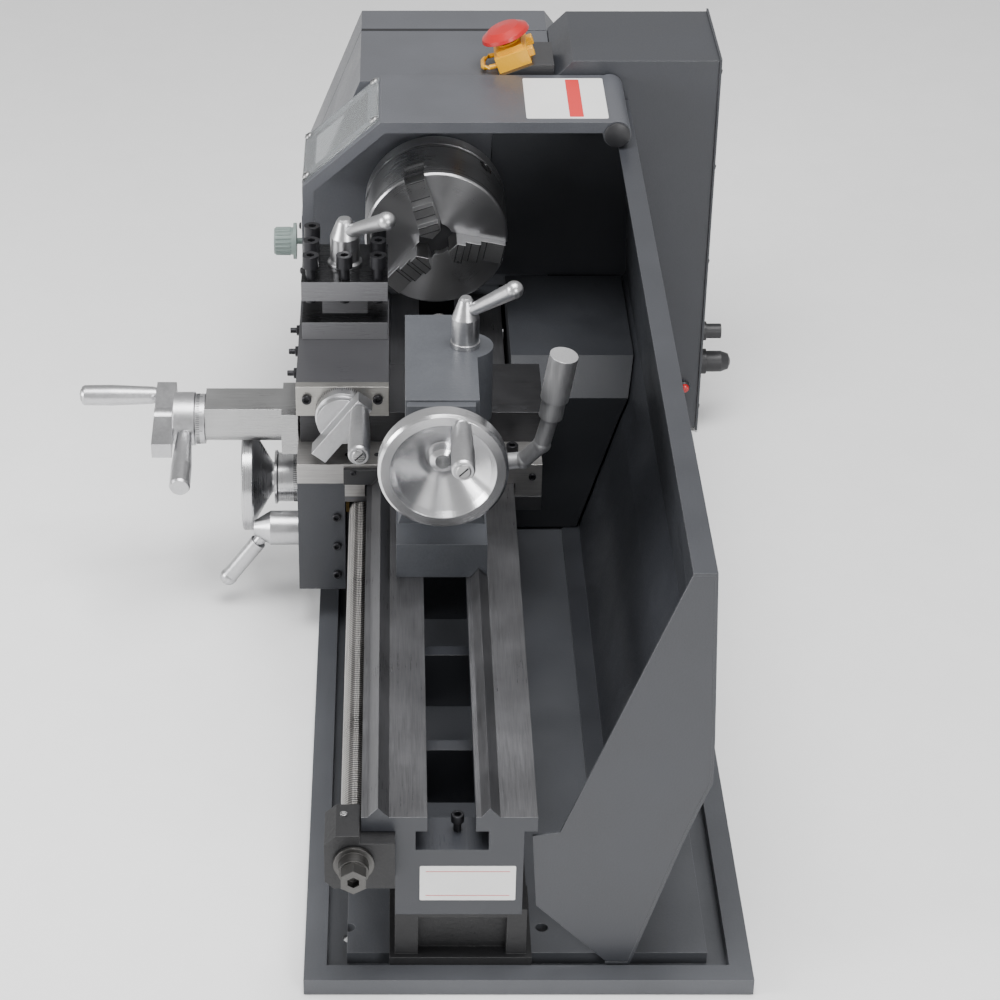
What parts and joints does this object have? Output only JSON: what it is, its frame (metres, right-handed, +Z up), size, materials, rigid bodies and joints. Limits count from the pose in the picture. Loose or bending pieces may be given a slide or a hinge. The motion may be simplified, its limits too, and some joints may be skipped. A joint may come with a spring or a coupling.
{
  "type": "bench metal lathe",
  "caption": "Bench metal lathe on a chip tray, with three-jaw chuck and hood, carriage with cross and top slides, tool post, tailstock and splash guard.",
  "frame": {"origin": "centre of the four bench bolt holes, on the underside of the chip tray", "axes": "+X along the bed towards the tailstock, +Y towards the splash guard, +Z up"},
  "size_m": [0.987, 0.5812, 0.4017],
  "materials": {
    "dark_paint": "satin",
    "grey_paint": "satin",
    "ground_iron": "ground",
    "steel": "machined",
    "bright_metal": "polished",
    "black_parts": "satin",
    "black_steel": "black oxide",
    "belt": "matt",
    "bronze": "machined",
    "yellow": "gloss",
    "red": "gloss",
    "knob": "matt",
    "clear": "clear"
  },
  "bodies": {
    "frame": {"chip_tray": "dark_paint", "bed": "ground_iron", "bed_feet": "dark_paint", "rack": "steel", "headstock": "dark_paint", "spindle_bearings": "steel", "headstock_cover": "grey_paint", "gear_cover": "grey_paint", "end_plate": "black_parts", "electric_box": "dark_paint", "box_fittings": "black_parts", "motor_cover": "dark_paint", "splash_guard": "dark_paint", "motor_housing": "black_parts", "drive_belt": "belt", "leadscrew_brackets": "black_parts", "switch_box": "yellow"},
    "stop_button": {"stop_button": "red"},
    "speed_knob": {"speed_knob": "knob"},
    "hood": {"chuck_hood": "grey_paint", "hood_window": "clear"},
    "spindle": {"spindle": "steel", "spindle_drives": "steel", "chuck_backplate": "steel", "chuck_body": "steel"},
    "key_pinion": {"chuck_pinion": "steel"},
    "scroll": {"chuck_scroll": "steel"},
    "jaw_1": {"chuck_jaw_1": "steel"},
    "jaw_2": {"chuck_jaw_2": "steel"},
    "jaw_3": {"chuck_jaw_3": "steel"},
    "motor_rotor": {"motor_shaft": "steel"},
    "idler": {"idler_gear": "steel"},
    "compound_gear": {"compound_gear": "steel"},
    "leadscrew": {"leadscrew": "steel"},
    "carriage": {"saddle": "steel", "apron": "dark_paint", "keepers": "ground_iron", "cross_bracket": "steel"},
    "apron_wheel": {"apron_handwheel": "bright_metal"},
    "rack_pinion": {"rack_pinion": "steel"},
    "half_nut_lever": {"half_nut_lever": "bright_metal"},
    "half_nut_upper": {"half_nut_upper": "bronze"},
    "half_nut_lower": {"half_nut_lower": "bronze"},
    "cross_slide": {"cross_slide": "ground_iron"},
    "cross_crank": {"cross_crank": "bright_metal"},
    "cross_grip": {"cross_grip": "bright_metal"},
    "compound_base": {"compound_base": "ground_iron"},
    "top_slide": {"top_slide": "steel"},
    "compound_crank": {"compound_crank": "bright_metal"},
    "compound_grip": {"compound_grip": "bright_metal"},
    "toolpost": {"toolpost_turret": "ground_iron", "toolpost_screws": "black_steel"},
    "toolpost_lever": {"toolpost_lever": "bright_metal"},
    "tailstock": {"tailstock_body": "grey_paint", "tailstock_clamp": "ground_iron"},
    "quill": {"quill": "steel"},
    "tail_wheel": {"tail_wheel": "bright_metal"},
    "tail_grip": {"tail_grip": "bright_metal"},
    "quill_lock": {"quill_lock_lever": "bright_metal"},
    "cam_lever": {"cam_lever": "bright_metal"}
  },
  "joints": [
    {"name": "spindle_turn", "type": "hinge", "parent": "frame", "child": "spindle", "pos_m": [-0.335, 0, 0.25], "axis": [1, 0, 0], "continuous": true},
    {"name": "motor_turn", "type": "hinge", "parent": "frame", "child": "motor_rotor", "pos_m": [-0.255, 0.11, 0.115], "axis": [1, 0, 0], "continuous": true},
    {"name": "idler_turn", "type": "hinge", "parent": "frame", "child": "idler", "pos_m": [-0.485, -0.02277, 0.20269], "axis": [1, 0, 0], "continuous": true},
    {"name": "compound_gear_turn", "type": "hinge", "parent": "frame", "child": "compound_gear", "pos_m": [-0.485, -0.02717, 0.14285], "axis": [1, 0, 0], "continuous": true},
    {"name": "leadscrew_turn", "type": "hinge", "parent": "frame", "child": "leadscrew", "pos_m": [-0.035, -0.064, 0.117], "axis": [1, 0, 0], "continuous": true},
    {"name": "scroll_turn", "type": "hinge", "parent": "spindle", "child": "scroll", "pos_m": [-0.27, 0, 0.25], "axis": [1, 0, 0], "range_deg": [-360, 480]},
    {"name": "key_pinion_turn", "type": "hinge", "parent": "spindle", "child": "key_pinion", "pos_m": [-0.2876, 0, 0.25], "axis": [0, 0.7071, 0.7071], "range_deg": [-1450, 1930]},
    {"name": "jaw_1_slide", "type": "slide", "parent": "spindle", "child": "jaw_1", "axis": [0, -0.319, 0.9478], "range_m": [-0.0061, 0.0081]},
    {"name": "jaw_2_slide", "type": "slide", "parent": "spindle", "child": "jaw_2", "axis": [0, -0.6613, -0.7501], "range_m": [-0.0061, 0.0081]},
    {"name": "jaw_3_slide", "type": "slide", "parent": "spindle", "child": "jaw_3", "axis": [0, 0.9803, -0.1977], "range_m": [-0.0061, 0.0081]},
    {"name": "apron_wheel_turn", "type": "hinge", "parent": "carriage", "child": "apron_wheel", "pos_m": [-0.08, -0.14, 0.1005], "axis": [0, 1, 0], "range_deg": [-109, 44]},
    {"name": "carriage_slide", "type": "slide", "parent": "frame", "child": "carriage", "axis": [1, 0, 0], "range_m": [-0.0198, 0.0079]},
    {"name": "rack_pinion_turn", "type": "hinge", "parent": "carriage", "child": "rack_pinion", "pos_m": [-0.11447, -0.08, 0.102], "axis": [0, 1, 0], "range_deg": [-19.5, 48]},
    {"name": "half_nut_lever_turn", "type": "hinge", "parent": "carriage", "child": "half_nut_lever", "pos_m": [-0.039, -0.12, 0.075], "axis": [0, 1, 0], "range_deg": [-40, 0]},
    {"name": "half_nut_upper_slide", "type": "slide", "parent": "carriage", "child": "half_nut_upper", "axis": [0, 0, 1], "range_m": [-0.003, 0]},
    {"name": "half_nut_lower_slide", "type": "slide", "parent": "carriage", "child": "half_nut_lower", "axis": [0, 0, 1], "range_m": [0, 0.003]},
    {"name": "cross_crank_turn", "type": "hinge", "parent": "carriage", "child": "cross_crank", "pos_m": [-0.067, -0.2, 0.165], "axis": [0, 1, 0], "range_deg": [-545, 4325]},
    {"name": "cross_slide_move", "type": "slide", "parent": "carriage", "child": "cross_slide", "axis": [0, 1, 0], "range_m": [-0.0015, 0.012]},
    {"name": "cross_grip_turn", "type": "hinge", "parent": "cross_crank", "child": "cross_grip", "pos_m": [-0.09753, -0.268, 0.17038], "axis": [0, 1, 0], "continuous": true},
    {"name": "compound_swivel", "type": "hinge", "parent": "cross_slide", "child": "compound_base", "pos_m": [-0.069, -0.079, 0.19], "axis": [0, 0, 1], "range_deg": [-8, 0]},
    {"name": "compound_crank_turn", "type": "hinge", "parent": "top_slide", "child": "compound_crank", "pos_m": [-0.025, -0.079, 0.196], "axis": [1, 0, 0], "range_deg": [-725, 10805]},
    {"name": "top_slide_move", "type": "slide", "parent": "compound_base", "child": "top_slide", "axis": [1, 0, 0], "range_m": [-0.002, 0.03]},
    {"name": "compound_grip_turn", "type": "hinge", "parent": "compound_crank", "child": "compound_grip", "pos_m": [0.045, -0.06422, 0.21491], "axis": [1, 0, 0], "continuous": true},
    {"name": "toolpost_turn", "type": "hinge", "parent": "top_slide", "child": "toolpost", "pos_m": [-0.144, -0.078, 0.25], "axis": [0, 0, 1], "continuous": true},
    {"name": "toolpost_lever_turn", "type": "hinge", "parent": "top_slide", "child": "toolpost_lever", "pos_m": [-0.144, -0.078, 0.28], "axis": [0, 0, 1], "range_deg": [-60, 60]},
    {"name": "tailstock_slide", "type": "slide", "parent": "frame", "child": "tailstock", "axis": [1, 0, 0], "range_m": [0, 0.28]},
    {"name": "tail_wheel_turn", "type": "hinge", "parent": "tailstock", "child": "tail_wheel", "pos_m": [0.145, 0, 0.25], "axis": [1, 0, 0], "range_deg": [-5400, 900]},
    {"name": "quill_slide", "type": "slide", "parent": "tailstock", "child": "quill", "axis": [1, 0, 0], "range_m": [-0.0301, 0.0051]},
    {"name": "tail_grip_turn", "type": "hinge", "parent": "tail_wheel", "child": "tail_grip", "pos_m": [0.195, 0.0133, 0.2888], "axis": [1, 0, 0], "continuous": true},
    {"name": "quill_lock_turn", "type": "hinge", "parent": "tailstock", "child": "quill_lock", "pos_m": [0.027, 0.019, 0.29], "axis": [0, 0, 1], "range_deg": [-60, 30]},
    {"name": "cam_lever_turn", "type": "hinge", "parent": "tailstock", "child": "cam_lever", "pos_m": [0.038, 0, 0.185], "axis": [0, 1, 0], "range_deg": [0, 45]},
    {"name": "hood_flip", "type": "hinge", "parent": "frame", "child": "hood", "pos_m": [-0.275, 0.153, 0.353], "axis": [1, 0, 0], "range_deg": [-95, 0]},
    {"name": "speed_knob_turn", "type": "hinge", "parent": "frame", "child": "speed_knob", "pos_m": [-0.385, -0.13, 0.175], "axis": [0, -1, 0], "range_deg": [0, 270]},
    {"name": "stop_press", "type": "slide", "parent": "frame", "child": "stop_button", "axis": [0, -0.3579, 0.9337], "range_m": [-0.003, 0]}
  ],
  "couplings": [
    {"joint": "motor_turn", "follows": "spindle_turn", "ratio": 2},
    {"joint": "idler_turn", "follows": "spindle_turn", "ratio": -0.75},
    {"joint": "compound_gear_turn", "follows": "spindle_turn", "ratio": 0.75},
    {"joint": "leadscrew_turn", "follows": "spindle_turn", "ratio": -0.375},
    {"joint": "key_pinion_turn", "follows": "scroll_turn", "ratio": 4},
    {"joint": "jaw_1_slide", "follows": "scroll_turn", "m_per_rad": 0.00095493},
    {"joint": "jaw_2_slide", "follows": "scroll_turn", "m_per_rad": 0.00095493},
    {"joint": "jaw_3_slide", "follows": "scroll_turn", "m_per_rad": 0.00095493},
    {"joint": "apron_wheel_turn", "follows": "carriage_slide", "rad_per_m": 95.238},
    {"joint": "rack_pinion_turn", "follows": "carriage_slide", "rad_per_m": -41.667},
    {"joint": "half_nut_upper_slide", "follows": "half_nut_lever_turn", "m_per_rad": 0.00429},
    {"joint": "half_nut_lower_slide", "follows": "half_nut_lever_turn", "m_per_rad": -0.00429},
    {"joint": "cross_crank_turn", "follows": "cross_slide_move", "rad_per_m": 6283.2},
    {"joint": "compound_crank_turn", "follows": "top_slide_move", "rad_per_m": 6283.2},
    {"joint": "quill_slide", "follows": "tail_wheel_turn", "m_per_rad": 0.00031831}
  ]
}
